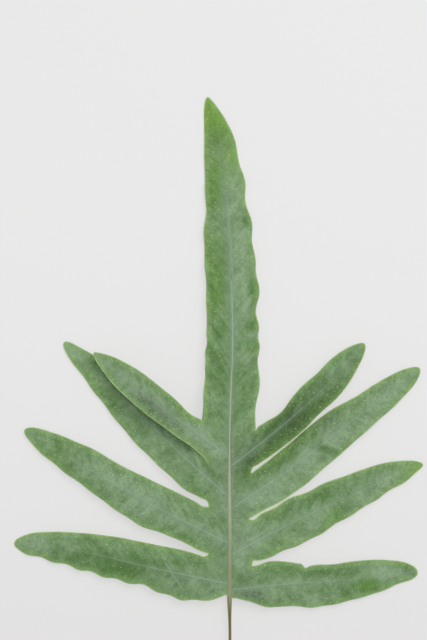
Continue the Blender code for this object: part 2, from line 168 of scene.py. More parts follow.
LEFT_LOBES = (
    Lobe(
        "left_1", root=9.0, vein=((49.2, 19.2), (89.4, 28.2), (129.6, 32.7)),
        above=(
            (0.125, 13.9), (0.16, 13.8), (0.2, 14.1), (0.35, 13.9), (0.5, 13.4), (0.65, 11.7),
            (0.8, 9.9), (0.92, 8.0), (1.0, 5.6),
        ),
        below=(
            (0.05, 11.0), (0.12, 13.8), (0.25, 14.8), (0.36, 12.0), (0.5, 12.2), (0.65, 11.3),
            (0.8, 8.7), (0.92, 6.4), (1.0, 5.1),
        ),
        notch=(12.6, 27.0), tip=0.7, arch=3.0, droop=(1.6, 1.8),
        ripple=0.9, wave=(16.2, 4.3), scallop=(0.1, 0.6),
    ),
    Lobe(
        "left_2", root=33.6, vein=((42.0, 54.0), (83.4, 76.8), (123.3, 101.0)),
        above=(
            (0.16, 13.3), (0.2, 13.5), (0.26, 13.7), (0.33, 13.4), (0.5, 12.3), (0.58, 11.8),
            (0.68, 12.1), (0.8, 10.1), (0.9, 7.8), (1.0, 5.0),
        ),
        below=(
            (0.065, 11.5), (0.1, 12.0), (0.13, 11.9), (0.24, 12.0), (0.36, 14.4), (0.5, 13.1),
            (0.65, 10.5), (0.8, 8.4), (0.92, 6.3), (1.0, 4.2),
        ),
        notch=(12.6, 55.2), tip=1.6, arch=2.5, droop=(1.4, 1.8),
        ripple=0.6, wave=(18.0, 2.6), scallop=(0.1, 0.2),
    ),
    Lobe(
        "left_3", root=61.2, vein=((29.4, 87.0), (65.4, 121.8), (99.4, 153.8)),
        above=(
            (0.25, 9.6), (0.33, 11.4), (0.45, 12.8), (0.6, 12.4), (0.75, 10.0), (0.9, 5.6),
            (1.0, 3.6),
        ),
        below=(
            (0.05, 11.0), (0.09, 11.8), (0.15, 13.9), (0.3, 14.3), (0.45, 14.4), (0.6, 12.6),
            (0.75, 9.6), (0.9, 6.2), (1.0, 4.9),
        ),
        notch=(13.8, 83.1), tip=1.2, arch=-1.0, droop=(1.0, 1.6),
        ripple=0.5, wave=(20.0, 0.8), scallop=(0.1, 0.2),
    ),
    Lobe(
        "left_4", root=85.8, vein=((18.0, 98.4), (47.4, 120.0), (81.4, 147.6)),
        above=(
            (0.3, 7.3), (0.45, 8.8), (0.65, 9.5), (0.8, 8.1), (0.9, 5.6), (1.0, 1.9),
        ),
        below=(
            (0.2, 8.6), (0.35, 8.8), (0.5, 8.8), (0.65, 8.4), (0.8, 7.0), (0.92, 4.6),
            (1.0, 2.6),
        ),
        notch=(16.5, 107.4), tip=8.5, arch=5.0, droop=(-0.8, -0.4),
        ripple=0.3, wave=(24.0, 0.0), scallop=(0.1, 0.1),
    ),
)
FOOT_NOTCHES = {1: (4.0, 0.2), -1: (3.0, 2.0)}  # where the lowest edges leave the stalk

# The end lobe, whose vein is the rachis itself from END_LOBE_FOOT upwards.
END_LOBE_FOOT = 93.0
END_LEFT = (
    (0.1, 16.3), (0.14, 16.5), (0.23, 16.1), (0.26, 16.8), (0.29, 15.2), (0.32, 15.8),
    (0.38, 15.3), (0.44, 15.7), (0.48, 15.4), (0.53, 16.2), (0.58, 15.5), (0.62, 15.1),
    (0.68, 12.9), (0.74, 12.4), (0.8, 11.1), (0.9, 8.0), (1.0, 4.8),
)
END_RIGHT = (
    (0.1, 15.2), (0.14, 16.2), (0.18, 16.7), (0.225, 16.3), (0.255, 15.4), (0.29, 16.2),
    (0.32, 15.9), (0.35, 14.9), (0.38, 14.9), (0.43, 15.9), (0.5, 15.2), (0.54, 13.9),
    (0.62, 13.8), (0.68, 11.8), (0.74, 12.0), (0.8, 10.6), (0.86, 9.9), (0.92, 7.5), (1.0, 3.4),
)
END_DROOP = 2.6
# Distances from the foot of the blade at which the right edge of the end lobe has its notches.
END_EDGE_NOTCHES = (93.0, 113.0, 141.0, 157.0, 172.0, 196.0, 215.0, 240.0, 262.0, 301.3)
END_RIPPLE = 1.7
END_EDGE_WOBBLE = 0.5
LEFT_EDGE_SHARE = 0.45  # of the right edge's ripple
LEFT_EDGE_SHIFT = 9.0  # between the waves of the two edges
NEAR_LINE_ROWS = 12  # rows over which the side veins fade in from the foot of the end lobe


def smooth(knots, values, at):
    """The cubic through the values at the knots whose slopes come from their neighbours."""
    knots = np.asarray(knots, float)
    values = np.asarray(values, float)
    at = np.clip(np.asarray(at, float), knots[0], knots[-1])
    slopes = np.gradient(values, knots, axis=0)
    i = np.clip(np.searchsorted(knots, at, side="right") - 1, 0, len(knots) - 2)
    width = knots[i + 1] - knots[i]
    t = (at - knots[i]) / width
    if values.ndim > 1:
        t, width = t[..., None], width[..., None]
    start = (1 + 2 * t) * (1 - t) ** 2 * values[i] + t * (1 - t) ** 2 * width * slopes[i]
    return start + t * t * (3 - 2 * t) * values[i + 1] - t * t * (1 - t) * width * slopes[i + 1]


def along(pairs, at):
    places, values = zip(*pairs)
    return smooth(places, values, at)


def smoothstep(x):
    x = np.clip(x, 0, 1)
    return x * x * (3 - 2 * x)


def rachis_x(y):
    return along(RACHIS_LINE, y)


def rachis_height(y):
    return along(RACHIS_HEIGHTS, y)


def on_rachis(y, side):
    """The inner edge of the sheet, tucked into the flank of the rachis until the rib ends."""
    y = np.asarray(y, float)
    closing = smoothstep((y - RIB_END + RIB_FADE + 2) / RIB_FADE)
    tuck = TUCK * along(STALK_HALF_WIDTHS, y) * (1 - closing)
    return np.stack([rachis_x(y) + side * tuck, y, rachis_height(y)], axis=-1)


class Vein:
    def __init__(self, points):
        self.points = np.asarray(points, float)
        steps = np.linalg.norm(np.diff(self.points, axis=0), axis=1)
        self.length = steps.sum()
        self.knots = np.concatenate([[0], np.cumsum(steps)]) / self.length

    def at(self, t):
        return smooth(self.knots, self.points, t)

    def across(self, t):
        tangent = self.at(np.minimum(t + 0.004, 1)) - self.at(np.maximum(t - 0.004, 0))
        tangent /= np.linalg.norm(tangent, axis=-1, keepdims=True)
        return np.stack([-tangent[..., 1], tangent[..., 0]], axis=-1)

    def foot_of(self, point):
        t = np.linspace(0, 1, 801)
        gaps = np.linalg.norm(self.at(t) - np.asarray(point, float), axis=1)
        return t[gaps.argmin()], gaps.min()


def edge_line(vein, notch, widths, sign, t, scallop=0.0):
    start, gap = vein.foot_of(notch)
    rounding = np.sqrt(np.clip(1 - t**TIP_SHARPNESS, 0, 1))
    half = (along(((start, gap), *widths), t) + scallop) * rounding
    return vein.at(t) + sign * half[:, None] * vein.across(t), half


def crowded(rows):
    """Shares from 0 to 1 that draw together at both ends."""
    at_notch, at_tip = ROW_CROWDING
    return 1 - (1 - np.linspace(0, 1, rows + 1) ** at_notch) ** at_tip


def spread_half(middle, edge, half, size, wave_at):
    """Points from the vein out to one edge.

    size and wave_at(slide) are the ripple's height and wave. The crests slant forwards, as the
    side veins do, so a wave that passes the edge at one place passes the vein further back."""
    points = middle[:, None, :] + COLUMNS[None, :, None] * (edge - middle)[:, None, :]
    flat = edge[:, 2] - size * wave_at(0)
    points[..., 2] = middle[:, None, 2] + COLUMNS**FOLD * (flat - middle[:, 2])[:, None]
    for j, share in enumerate(COLUMNS):
        points[:, j, 2] += share**RIPPLE_FOLD * size * wave_at(VEIN_SLANT * half * (1 - share))
    return points


def lobe_vein(lobe, side):
    start = on_rachis(lobe.root, side)[:2]
    return Vein([start, *((side * x, y) for x, y in lobe.vein)])


def vein_height(lobe, t):
    straight = rachis_height(lobe.root) * (1 - t) + lobe.tip * t
    return straight + 4 * lobe.arch * t * (1 - t)


def notch_share(lobe, side, below_notch):
    vein = lobe_vein(lobe, side)
    below = vein.foot_of((side * below_notch[0], below_notch[1]))[0]
    above = vein.foot_of((side * lobe.notch[0], lobe.notch[1]))[0]
    return (below + above) / 2


Patch = namedtuple("Patch", "name points along_mm out_mm seamless tip_share side")
PATCH_FIELDS = ("along_mm", "out_mm", "seamless", "tip_share")


def side_patches(lobes, side):
    """One patch of the sheet per side lobe, and the points of the line that the end lobe shares."""
    notches = [FOOT_NOTCHES[side], *(lobe.notch for lobe in lobes)]
    roots = [lobe.root for lobe in lobes]
    splits = [notches[0][1], *((a + b) / 2 for a, b in zip(roots, roots[1:])), END_LOBE_FOOT]
    shares = [notch_share(lobe, side, notches[i]) for i, lobe in enumerate(lobes)]
    heights = [vein_height(lobe, share) for lobe, share in zip(lobes, shares)]
    notch_heights = [heights[0], *((a + b) / 2 for a, b in zip(heights, heights[1:]))]
    notch_heights.append((heights[-1] + rachis_height(notches[-1][1])) / 2)
    web = np.linspace(0, 1, WEB_ROWS + 1)[:, None]
    lines = []
    for split, notch, height in zip(splits, notches, notch_heights):
        start = on_rachis(split, side)
        end = np.array([side * notch[0], notch[1], height])
        lines.append(start + web * (end - start))
    free = crowded(SIDE_LOBE_ROWS)[1:]
    patches = []
    for i, lobe in enumerate(lobes):
        vein = lobe_vein(lobe, side)
        t_middle = np.concatenate([web[:, 0] * shares[i], shares[i] + (1 - shares[i]) * free])
        height = vein_height(lobe, t_middle)
        middle = np.column_stack([vein.at(t_middle), height])
        halves = []
        for line, widths, turn, droop, scallop, phase in (
            (lines[i], lobe.below, -side, lobe.droop[1], lobe.scallop[1], 0.0),
            (lines[i + 1], lobe.above, side, lobe.droop[0], lobe.scallop[0], np.pi / 2),
        ):
            start = vein.foot_of(line[-1, :2])[0]
            t = start + (1 - start) * free
            settled = smoothstep(free / SETTLING)
            length, offset = lobe.wave

            def wave(slide, t=t, length=length, offset=offset, phase=phase, vein=vein):
                turns = (t * vein.length + slide) / length
                return np.sin(2 * np.pi * turns + offset + phase)

            place, half = edge_line(vein, line[-1, :2], widths, turn, t, scallop * settled * wave(0))
            full = (half / FULL_WIDTH) ** WIDTH_POWER
            size = lobe.ripple * settled * full
            base = line[-1, 2] - height[WEB_ROWS]
            level = height[WEB_ROWS + 1 :] + size * wave(0) - settled * droop * full
            level += (1 - settled) * base
            edge = np.concatenate([line, np.column_stack([place, level])])
            reach = np.linalg.norm(edge[:, :2] - middle[:, :2], axis=1)
            pad = np.zeros(WEB_ROWS + 1)
            sizes = np.concatenate([pad, size])

            def whole_wave(slide, wave=wave):
                slide = np.broadcast_to(slide, (len(reach),))[WEB_ROWS + 1 :]
                return np.concatenate([pad, wave(slide)])

            halves.append((spread_half(middle, edge, reach, sizes, whole_wave), reach))
        points = np.concatenate([halves[0][0][:, ::-1], halves[1][0][:, 1:]], axis=1)
        points[0] = rachis_row(lobe.root, splits[i], splits[i + 1], side)
        outs = [-halves[0][1][:, None] * COLUMNS[::-1], halves[1][1][:, None] * COLUMNS[1:]]
        out = np.concatenate(outs, axis=1)
        s = np.broadcast_to((t_middle * vein.length)[:, None], out.shape)
        share = np.abs(np.concatenate([-COLUMNS[::-1], COLUMNS[1:]]))
        in_web = np.arange(len(t_middle)) <= WEB_ROWS
        fading = smoothstep((share - SEAM) / (1 - SEAM))[None, :]
        seamless = np.where(in_web[:, None], 1 - fading, 1.0)
        tip = np.broadcast_to(t_middle[:, None], out.shape)
        patches.append(Patch(lobe.name, points, s, out, seamless, tip, side))
    return patches, lines[-1]


def rachis_row(root, low, high, side):
    """The row of a side lobe that lies along the rachis, from the line below it to the one above."""
    below = root + COLUMNS[::-1] * (low - root)
    above = root + COLUMNS[1:] * (high - root)
    return on_rachis(np.concatenate([below, above]), side)


def end_edge_ripple(y):
    """A wave from -1 at each notch of the right edge to 1 between two of them."""
    turns = np.interp(y, END_EDGE_NOTCHES, np.arange(len(END_EDGE_NOTCHES)))
    return -np.cos(2 * np.pi * turns)


def end_patch(side, line):
    """Half of the end lobe, from the rachis outwards. line is its shared lower edge."""
    upper = [(x, y) for y, x in RACHIS_LINE if y > END_LOBE_FOOT + 3]
    vein = Vein([(rachis_x(END_LOBE_FOOT), END_LOBE_FOOT), *upper])
    free = crowded(END_LOBE_ROWS)
    notch = line[-1, :2]
    start = vein.foot_of(notch)[0]
    t = start + (1 - start) * free
    widths = END_RIGHT if side > 0 else END_LEFT
    edge, half = edge_line(vein, notch, widths, -side, t)
    middle_plan = vein.at(free)
    y = middle_plan[:, 1]
    settled = smoothstep(free / SETTLING)
    fade = settled * (half / FULL_WIDTH) ** WIDTH_POWER
    edge_y = edge[:, 1].copy()

    def wave(slide):
        if side > 0:
            return end_edge_ripple(edge_y + slide)
        return LEFT_EDGE_SHARE * end_edge_ripple(edge_y + slide + LEFT_EDGE_SHIFT)

    edge[:, 0] += side * END_EDGE_WOBBLE * wave(0) * fade
    level = rachis_height(y) + fade * (END_RIPPLE * wave(0) - END_DROOP)
    level += (line[-1, 2] - level[0]) * (1 - settled)
    outer = np.column_stack([edge, level])
    inner = on_rachis(y, side)
    inner[:, 0] += middle_plan[:, 0] - rachis_x(y)
    points = spread_half(inner, outer, half, END_RIPPLE * fade, wave)
    even = np.linspace(0, 1, WEB_ROWS + 1)
    for row in range(WEB_ROWS):
        shares = even + (COLUMNS - even) * row / WEB_ROWS
        points[row] = inner[row] + shares[:, None] * (outer[row] - inner[row])
        points[row, :, 2] = inner[row, 2] + shares**FOLD * (outer[row, 2] - inner[row, 2])
    points[0] = line
    out = side * half[:, None] * COLUMNS
    s = np.broadcast_to(y[:, None] - END_LOBE_FOOT, out.shape)
    near_line = smoothstep(np.arange(len(y)) / NEAR_LINE_ROWS)[:, None]
    tip = np.broadcast_to(free[:, None], out.shape)
    return Patch("end", points, s, out, np.broadcast_to(near_line, out.shape), tip, side)


# --- The sheet's mesh ---------------------------------------------------------------------------

# Soft clouds of colour, each (x, y, half length, half width, angle in degrees, strength).
# The first table is the blue-grey wax, and where it is thin the green shows through; some of its
# spots are painted light and shade, a lobe's half paler where it faces the lamp and greener where
# it lies in shade. The second is yellower leaf. The third is partly a deeper tone and partly
# painted shade, and the fourth widens the pale rim along the slits, painted light glowing there.
BLOOM_LIGHT_AND_SHADE = (
    (0, 215, 42, 4, 92, 0.06), (7.5, 195, 60, 5.5, 92, 0.34), (27, 96, 24, 7, 40, -0.7),
    (37, 111, 12, 7, 50, -0.45), (16, 88, 12, 1.8, 42, 0.5), (-13, 230, 4.5, 3, 90, 0.8),
    (10, 219, 5, 3.5, 80, 0.5), (-9, 250, 18, 6, 90, -0.5), (-8.5, 185, 34, 6.5, 90, -0.36),
    (-6, 135, 22, 7, 90, -0.3), (7, 130, 24, 6, 90, -0.12), (11, 228, 8, 3, 75, -0.8),
    (14, 185, 7, 2.5, 85, -0.6), (14, 165, 5, 2.5, 40, -0.5), (14, 158, 3, 2, 40, 0.5),
    (14, 153, 3, 3, 40, -0.5), (13, 146, 3, 2.5, 40, 0.5), (41, 114, 5, 2, 50, 0.6),
    (22, 64, 18, 6, 35, 0.35), (49, 86, 5, 5, 40, 0.6), (62, 98, 14, 8, 38, 0.4),
    (98, 128, 14, 6, 42, 0.25), (58, 89, 8, 3, -20, -0.9), (32, 86, 20, 4, 35, -0.35),
    (10, 34, 9, 8, 60, 0.45), (50, 45, 7, 6, 20, 0.45), (34, 32, 13, 4, 20, 0.45),
    (94, 66, 24, 5, 25, 0.15), (91, 17, 7, 7, 70, 0.75), (83, 8, 9, 4.5, 10, -0.8),
    (25, 2, 24, 4.5, 5, 0.25), (40, 17, 26, 4, 2, -0.15), (-93, 147, 9, 7, -50, 0.35),
    (-34, 107, 26, 7, -38, 0.4), (-72, 138, 12, 6, -30, -0.2), (-24, 112, 6, 4, -40, -0.4),
    (-60, 68, 26, 7, -28, 0.4), (-60, 54, 12, 5, -28, 0.4), (-112, 88, 10, 8, -30, -0.1),
    (-120, 34, 12, 8, 0, 0.45), (-62, 21, 30, 8, -8, -0.65), (-30, 8, 22, 5, -15, 0.35),
    (0, 55, 45, 13, 90, 0.14), (-2, 255, 16, 9, 98, 0.34), (57, 120, 20, 7, 48, -0.4),
    (32, 62, 22, 4, 32, 0.5), (57, 80, 9, 4, 35, 0.5), (85, 105, 14, 4, 38, 0.45),
    (84, 59, 10, 4, 25, 0.4), (58, 62, 16, 4, 25, -0.4), (28, 51, 10, 4, 25, -0.3),
    (12, 81, 7, 5, 40, -0.3), (58, 15, 16, 4, 0, -0.3), (54, 0, 16, 3, 5, 0.35),
    (-98, 86, 12, 6, -32, -0.35), (-99, 27, 7, 4, -5, -0.35), (-40, 83, 12, 6, -45, 0.35),
    (-12, 163, 6, 5, 90, 0.5), (-13, 258, 11, 4, 90, 0.4), (-30, 12, 7, 5, -50, -0.2),
    (-66, 135, 20, 5, -38, 0.4), (-17, 97, 12, 6, -38, 0.3), (8, 20, 7, 7, 60, 0.3),
    (70, 97, 40, 6, 38, 0.14), (-80, 73, 46, 9, -29, 0.1),
)
YELLOW = (
    (-8, 290, 18, 14, 100, 1.05), (3, 265, 7, 4, 120, 0.55), (-9, 250, 16, 6, 90, 0.35),
    (-8, 185, 26, 5, 90, 0.32), (-3, 257, 12, 8, 100, 0.3), (48, 111, 32, 7, 46, 0.28),
    (-103, 88, 11, 7, -35, 0.3), (-11, 211, 8, 5, 90, 0.25), (12, 149, 5, 4, 0, 0.35),
    (116, 79, 13, 6, 25, 0.8), (62, 49, 7, 6, 30, 0.38), (31, 32, 14, 4, 20, 0.3),
    (83, 8, 9, 4.5, 10, 0.35), (104, 22, 10, 3, 0, 0.3), (30, 88, 20, 4, 35, 0.25),
    (-7.5, 104, 2, 1.4, 60, 0.4), (-80, 130, 20, 4, -40, 0.2), (-27, 112, 7, 4, -40, 0.4),
    (-56, 36, 30, 3, -12, 0.2),
)
# Partly a deeper tone, partly painted shade: the trough of the top right lobe, the shadow of the top
# left lobe on the lobe below it, and a dimming over the right lobes.
DARK_AND_SHADE = (
    (28, 96, 28, 10, 40, 0.34), (37, 111, 13, 9, 50, 0.26), (55, 130, 14, 4, 48, 0.12),
    (-8, 275, 5, 4, 100, 0.12), (58, 89, 7, 3, -20, 0.12), (10, 226, 6, 2.5, 75, 0.1),
    (-60, 20, 28, 5, -8, 0.12), (-8, 278, 14, 12, 95, 0.12), (14, 120, 30, 3, 90, 0.06),
    (-68, 113, 34, 4, -46, 0.05), (0, 55, 45, 13, 90, 0.09), (57, 120, 20, 7, 48, 0.3),
    (76, 142, 10, 4, 55, 0.2), (-44, 114, 22, 5, -38, 0.36), (61, 104, 8, 6, 38, 0.16),
    (93, 127, 10, 5, 45, 0.16), (8, 84, 9, 6, 60, 0.14), (10, 12, 6, 6, 90, 0.12),
    (-98, 86, 12, 6, -32, 0.15), (-99, 27, 7, 4, -5, 0.12), (-30, 12, 7, 5, -50, 0.18),
    (13, 2, 10, 4, -10, 0.45), (58, 15, 16, 4, 0, 0.12), (110, 15, 5, 4, 70, 0.2),
    (12, 81, 7, 5, 40, 0.12), (12, 149, 5, 4, 0, 0.2), (80, 50, 60, 50, 20, 0.05),
    (-11, 4.5, 3.5, 0.9, 28, 0.3),
)
# Painted light: where the pale rim widens along the slits, as light glows through the edges.
SLIT_GLOW = (
    (28, 91.5, 22, 3.2, 42, 0.9), (27, 56, 18, 3, 27, 0.9), (15, 22, 8, 2.5, 20, 0.6),
    (-20, 28, 12, 3, -25, 0.5), (-13, 250, 60, 3, 90, 0.3),
)
# A straight crease across the lowest left lobe: its middle, its direction and its half length.
CREASE_MIDDLE = np.array([-33.8, 14.2])
CREASE_AHEAD = np.array([0.55, -0.835])
CREASE_HALF = 12.0


def cloud(points, spots):
    """The spots' strengths added up at each point."""
    total = np.zeros(len(points))
    for x, y, length, width, angle, strength in spots:
        a = np.radians(angle)
        dx = points[:, 0] - x
        dy = points[:, 1] - y
        u = (dx * np.cos(a) + dy * np.sin(a)) / length
        v = (-dx * np.sin(a) + dy * np.cos(a)) / width
        total += strength * np.exp(-(u * u + v * v))
    return total


def place_values(points, values):
    """What the materials read at each point that depends only on where it is."""
    offset = points[:, :2] - CREASE_MIDDLE
    return {
        "bloom": cloud(points, BLOOM_LIGHT_AND_SHADE),
        "yellow": cloud(points, YELLOW),
        "dark": cloud(points, DARK_AND_SHADE),
        "slit": cloud(points, SLIT_GLOW),
        "y_mm": points[:, 1],
        "crease_along": offset @ CREASE_AHEAD,
        "crease_off": offset @ np.array([-CREASE_AHEAD[1], CREASE_AHEAD[0]]),
        "vein_mm": values["along_mm"] - VEIN_SLANT * np.abs(values["out_mm"]),
    }


def merged(patches):
    """All the patches as one surface: points, per-point values, and quads facing up."""
    points = []
    values = {name: [] for name in (*PATCH_FIELDS, "lobe")}
    quads = []
    count = 0
    for number, patch in enumerate(patches):
        rows, columns = patch.points.shape[:2]
        points.append(patch.points.reshape(-1, 3))
        for name in PATCH_FIELDS:
            values[name].append(getattr(patch, name).reshape(-1))
        values["lobe"].append(np.full(rows * columns, float(number)))
        index = count + np.arange(rows * columns).reshape(rows, columns)
        corners = [index[:-1, :-1], index[:-1, 1:], index[1:, 1:], index[1:, :-1]]
        faces = np.stack([c.reshape(-1) for c in corners], axis=1)
        if (patch.side > 0) != (patch.name == "end"):
            faces = faces[:, ::-1]
        quads.append(faces)
        count += rows * columns
    points = np.concatenate(points)
    quads = np.concatenate(quads)
    _, first, index = np.unique(np.round(points, 3), axis=0, return_index=True, return_inverse=True)
    values = {name: np.concatenate(parts)[first] for name, parts in values.items()}
    return points[first], values, index.reshape(-1)[quads]


def clean_faces(quads):
    """The faces as lists of different corners; a quad at a tip becomes a triangle or goes."""
    faces = []
    for quad in quads.tolist():
        corners = [c for i, c in enumerate(quad) if c != quad[i - 1]]
        if len(set(corners)) >= 3 and len(set(corners)) == len(corners):
            faces.append(corners)
    return faces


def normals_of(points, faces):
    normals = np.zeros_like(points)
    for size in (3, 4):
        group = np.array([f for f in faces if len(f) == size])
        if len(group) == 0:
            continue
        first, second, third, last = (points[group[:, k]] for k in (0, 1, 2, -1))
        across = np.cross(third - first, last - second)
        for corner in group.T:
            np.add.at(normals, corner, across)
    return normals / np.linalg.norm(normals, axis=1, keepdims=True)


def open_edges(faces):
    """The edges that only one face has, each in that face's direction."""
    found = {}
    for face in faces:
        for a, b in zip(face, face[1:] + face[:1]):
            if found.pop((b, a), None) is None:
                found[(a, b)] = True
    return list(found)


def distance_to(points, targets):
    tree = kdtree.KDTree(len(targets))
    for i, target in enumerate(targets):
        tree.insert(target, i)
    tree.balance()
    return np.array([tree.find(point)[2] for point in points])


def denser(line, times=4):
    """The line with extra points between its own."""
    at = np.linspace(0, len(line) - 1, (len(line) - 1) * times + 1)
    return np.stack([np.interp(at, np.arange(len(line)), line[:, k]) for k in range(3)], axis=1)


def hump(gap, size):
    """A rounded ridge's height at a distance from its crest."""
    height, half_width = size
    return height * np.exp(-((gap / half_width) ** 2))


def build_sheet():
    patches = []
    for side, lobes in ((1, RIGHT_LOBES), (-1, LEFT_LOBES)):
        found, line = side_patches(lobes, side)
        patches += [*found, end_patch(side, line)]
    top, values, quads = merged(patches)
    faces = clean_faces(quads)
    up = normals_of(top, faces)
    if up[:, 2].mean() < 0:
        raise ValueError("the sheet faces down")
    margins = []
    ribs = []
    for patch in patches:
        web = 0 if patch.name == "end" else WEB_ROWS
        margins.append(denser(patch.points[web:, -1]))
        if patch.name != "end":
            margins.append(denser(patch.points[web:, 0]))
            ribs.append(denser(patch.points[:, len(COLUMNS) - 1]))
    for lowest in (patches[0], patches[len(RIGHT_LOBES) + 1]):
        margins.append(denser(lowest.points[: WEB_ROWS + 1, 0]))
    y = np.arange(0.0, 301.0, 0.5)
    spine = np.column_stack([rachis_x(y), y, rachis_height(y)])
    edge = distance_to(top, np.concatenate(margins))
    rib = distance_to(top, np.concatenate(ribs))
    spine_gap = distance_to(top, spine)
    values["edge_mm"] = edge
    values["rib_mm"] = rib
    values["spine_mm"] = spine_gap
    # A vein weakens towards the tip of its lobe.
    values["line"] = np.clip(1.15 - values["tip_share"] * 1.3, 0.12, 1)
    values.update(place_values(top, values))
    strength = values["line"]
    in_end = top[:, 1] > END_RIB_START
    ridge = strength * hump(rib, LOBE_RIDGE) + np.where(in_end, hump(spine_gap, END_RIDGE), 0)
    quilt = QUILT_HEIGHT * values["seamless"] * np.cos(2 * np.pi * values["vein_mm"] / SIDE_VEIN_PITCH)
    quilt *= smoothstep(edge / 4) * smoothstep(rib / 3)
    thick = THICKNESS * np.sqrt(np.clip(edge / EDGE_ROUNDING, 0, 1))
    thick += strength * hump(rib, LOBE_KEEL) + np.where(in_end, hump(spine_gap, END_KEEL), 0)
    rim = np.zeros(len(top), bool)
    rim[[a for a, _ in open_edges(faces)]] = True
    over = np.where(rim, -RIM_SINK, ridge + quilt)
    under = np.where(rim, -RIM_SINK, over - thick)
    upper = top + up * over[:, None]
    lower_index = np.where(rim, np.arange(len(top)), -1)
    inner = np.flatnonzero(~rim)
    lower_index[inner] = len(top) + np.arange(len(inner))
    lower = top[inner] + up[inner] * under[inner][:, None]
    bottom_faces = [[int(lower_index[c]) for c in reversed(face)] for face in faces]
    points = np.concatenate([upper, lower])
    values = {name: np.concatenate([v, v[inner]]) for name, v in values.items()}
    all_faces = faces + bottom_faces
    slots = [0] * len(faces) + [1] * len(bottom_faces)
    values["spot"] = np.zeros(len(points))
    dots, dot_values, dot_faces = lime_dots(patches, len(points))
    # A dot has no rim and no vein line of its own.
    dot_values["edge_mm"] = np.full(len(dots), 3.0)
    dot_values["rib_mm"] = distance_to(dots, np.concatenate(ribs))
    dot_values["spine_mm"] = distance_to(dots, spine)
    dot_values["line"] = np.zeros(len(dots))
    dot_values.update(place_values(dots, dot_values))
    points = np.concatenate([points, dots])
    values = {name: np.concatenate([v, dot_values[name]]) for name, v in values.items()}
    all_faces += dot_faces
    slots += [0] * len(dot_faces)
    return mesh_object("blade_leaf", points, all_faces, slots, values)


DOT_SIDES = 6
# Rows of dots: distance from the edge, distance from dot to dot, and the share that is there.
DOT_ROWS = ((2.3, 3.1, 0.85), (5.0, 3.6, 0.75), (8.0, 4.6, 0.45))


def lime_dots(patches, first):
    """The pale scales over the water pores, in loose rows near the edges, as low soft domes."""
    random = np.random.default_rng(7)
    points = []
    faces = []
    names = (*PATCH_FIELDS, "lobe")
    values = {name: [] for name in (*names, "spot")}
    n = DOT_SIDES
    turn = np.linspace(0, 2 * np.pi, n, endpoint=False)
    for number, patch in enumerate(patches):
        up = patch_normals(patch)
        is_end = patch.name == "end"
        out = np.abs(patch.out_mm) if is_end else patch.out_mm
        fields = (patch.along_mm, out, patch.seamless, patch.tip_share)
        for sign in (1,) if is_end else (-1, 1):
            for row, column in dot_places(patch, sign, random):
                r, c = int(row), int(column)
                f, g = row - r, column - c
                weights = (
                    (r, c, (1 - f) * (1 - g)),
                    (r, c + 1, (1 - f) * g),
                    (r + 1, c, f * (1 - g)),
                    (r + 1, c + 1, f * g),
                )
                centre = sum(w * patch.points[a, b] for a, b, w in weights)
                here = [sum(w * field[a, b] for a, b, w in weights) for field in fields]
                normal = up[r, c]
                right = np.cross(normal, (0.3, 0.9, 0.1))
                right /= np.linalg.norm(right)
                ahead = np.cross(normal, right)
                size = random.uniform(0.34, 0.6)
                spread = np.cos(turn)[:, None] * right + np.sin(turn)[:, None] * ahead
                # A ring sunk into the sheet, a smaller one just above it, and the top.
                low = first + len(points)
                high = low + n
                points += [*(centre + size * spread - 0.12 * normal)]
                points += [*(centre + 0.55 * size * spread + 0.04 * normal)]
                points.append(centre + 0.09 * normal)
                after = [(k + 1) % n for k in range(n)]
                faces += [[low + k, low + a, high + a, high + k] for k, a in enumerate(after)]
                faces += [[high + k, high + a, high + n] for k, a in enumerate(after)]
                faces.append([low + k for k in reversed(range(n))])
                glow = random.uniform(0.3, 0.9)
                values["spot"] += [0.0] * n + [0.8 * glow] * n + [glow]
                for name, value in zip(names, (*here, number)):
                    values[name] += [float(value)] * (2 * n + 1)
    return np.array(points), {name: np.array(v) for name, v in values.items()}, faces


def dot_places(patch, sign, random):
    """Where one side's dots are, as places in the patch's rows and columns."""
    is_end = patch.name == "end"
    length = patch.along_mm[-1, 0]
    places = []
    rows = np.arange(len(patch.along_mm))
    for inset, pitch, share in DOT_ROWS:
        for s in np.arange(6, length - 2.5, pitch):
            row = np.interp(s + random.normal(0, 0.7), patch.along_mm[:, 0], rows)
            jitter = random.normal(0, 0.45)
            r = int(row)
            if random.random() > share or r + 1 >= len(patch.points) or (not is_end and r <= WEB_ROWS):
                continue
            outs = np.abs(patch.out_mm[r]) if is_end else patch.out_mm[r]
            reach = abs(outs[-1] if sign > 0 else outs[0])
            if reach < inset + 2:
                continue
            column = np.interp(sign * (reach - inset + jitter), outs, np.arange(len(outs)))
            places.append((row, min(column, len(outs) - 1.01)))
    return places


def patch_normals(patch):
    along_row = np.gradient(patch.points, axis=0)
    along_column = np.gradient(patch.points, axis=1)
    normal = np.cross(along_column, along_row)
    normal /= np.linalg.norm(normal, axis=2, keepdims=True) + 1e-9
    return normal * np.sign(normal[..., 2:3] + 1e-9)


def put_in_scene(name, data):
    thing = bpy.data.objects.new(name, data)
    bpy.context.scene.collection.objects.link(thing)
    return thing


def mesh_object(name, points, faces, slots, values):
    mesh = bpy.data.meshes.new(name)
    mesh.from_pydata(((points + SHIFT) * MM).tolist(), [], faces)
    mesh.polygons.foreach_set("material_index", slots)
    for key, numbers in values.items():
        layer = mesh.attributes.new(key, "FLOAT", "POINT")
        layer.data.foreach_set("value", np.asarray(numbers, np.float32))
    mesh.shade_smooth()
    mesh.validate()
    return put_in_scene(name, mesh)


